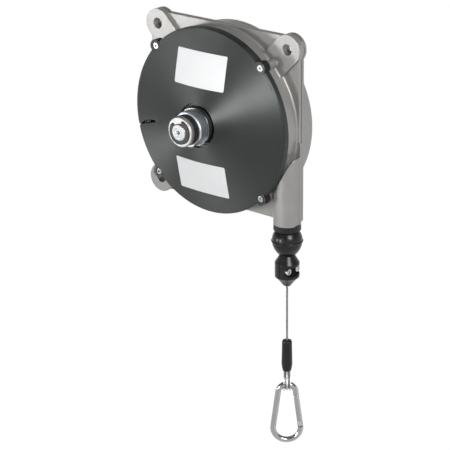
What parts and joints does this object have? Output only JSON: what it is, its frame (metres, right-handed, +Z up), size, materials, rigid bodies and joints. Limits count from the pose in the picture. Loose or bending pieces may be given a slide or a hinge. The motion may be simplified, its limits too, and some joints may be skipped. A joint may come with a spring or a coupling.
{
  "type": "tool balancer",
  "caption": "Spring tool balancer: round reel housing with lugs, tension nut on its hub, and a thin cable that runs from a side tube through a bumper ball to a snap hook.",
  "frame": {"origin": "centre of the hanging eye, the lug hole above the cable, on its axis and halfway through the lug", "axes": "+Y along the hanging eye, from the cover to the rear; +Z up, along the hanging cable; +X to the right as seen from the front"},
  "size_m": [0.1962, 0.093, 0.4363],
  "materials": {
    "cover_finish": "satin dark grey",
    "cast_aluminium": "fine blasted casting",
    "drum_aluminium": "turned",
    "zinc_steel": "bright zinc",
    "bright_steel": "polished nickel",
    "ground_steel": "ground",
    "black_steel": "black oxide",
    "spring_steel": "blue tempered",
    "bearing_bronze": "oiled",
    "cable_steel": "stranded",
    "bumper_rubber": "matte",
    "guide_plastic": "matte",
    "clamp_plastic": "satin",
    "sleeve_plastic": "satin"
  },
  "bodies": {
    "housing": {"front_cover": "cover_finish", "front_casting": "cast_aluminium", "rear_casting": "cast_aluminium", "cover_screws": "zinc_steel", "guide_bush": "guide_plastic", "ratchet_collar": "zinc_steel", "rear_bush": "bearing_bronze"},
    "arbor": {"arbor": "ground_steel", "adjusting_nut": "zinc_steel", "nut_key": "ground_steel", "disc_springs": "black_steel", "thrust_washer": "zinc_steel", "retaining_ring": "black_steel"},
    "drum": {"cable_drum": "drum_aluminium", "spring_cover": "drum_aluminium", "spring_cover_screws": "zinc_steel", "drum_bush_front": "bearing_bronze", "drum_bush_rear": "bearing_bronze", "spring_outer_pin": "ground_steel", "cable_stop": "ground_steel", "wound_cable": "cable_steel", "power_spring": "spring_steel"},
    "cable_end": {"feed_cable": "cable_steel", "bumper_ball": "bumper_rubber", "clamp_left_half": "clamp_plastic", "clamp_right_half": "clamp_plastic", "clamp_screws": "zinc_steel", "hanging_cable": "cable_steel", "cable_ferrule": "drum_aluminium", "ferrule_sleeve": "sleeve_plastic", "cable_eye": "cable_steel", "thimble": "bright_steel"},
    "hook": {"snap_hook": "bright_steel"},
    "gate": {"gate": "bright_steel", "gate_spring": "spring_steel", "gate_pin": "ground_steel", "gate_latch_pin": "ground_steel"}
  },
  "joints": [
    {"name": "drum_turn", "type": "hinge", "parent": "housing", "child": "drum", "pos_m": [-0.0825, 0, -0.0825], "axis": [0, 1, 0], "range_deg": [0, 1680], "stiffness_Nm_per_rad": 0.0125, "springref_deg": -16615.78, "deforming": ["power_spring"]},
    {"name": "cable_pull", "type": "slide", "parent": "housing", "child": "cable_end", "axis": [0, 0, -1], "range_m": [0, 2.438], "deforming": ["feed_cable"]},
    {"name": "tension_adjust", "type": "hinge", "parent": "housing", "child": "arbor", "pos_m": [-0.0825, 0, -0.0825], "axis": [0, 1, 0], "range_deg": [0, 1080]},
    {"name": "hook_swing", "type": "hinge", "parent": "cable_end", "child": "hook", "pos_m": [0, -0.00465, -0.3544], "axis": [0.7672, 0.6414, 0], "range_deg": [-80, 80]},
    {"name": "gate_open", "type": "hinge", "parent": "hook", "child": "gate", "pos_m": [0.01047, 0.0041, -0.3988], "axis": [0.6414, -0.7672, 0], "range_deg": [0, 20], "stiffness_Nm_per_rad": 0.05, "springref_deg": -28.65}
  ],
  "couplings": [
    {"joint": "cable_pull", "follows": "drum_turn", "m_per_rad": 0.0829}
  ]
}
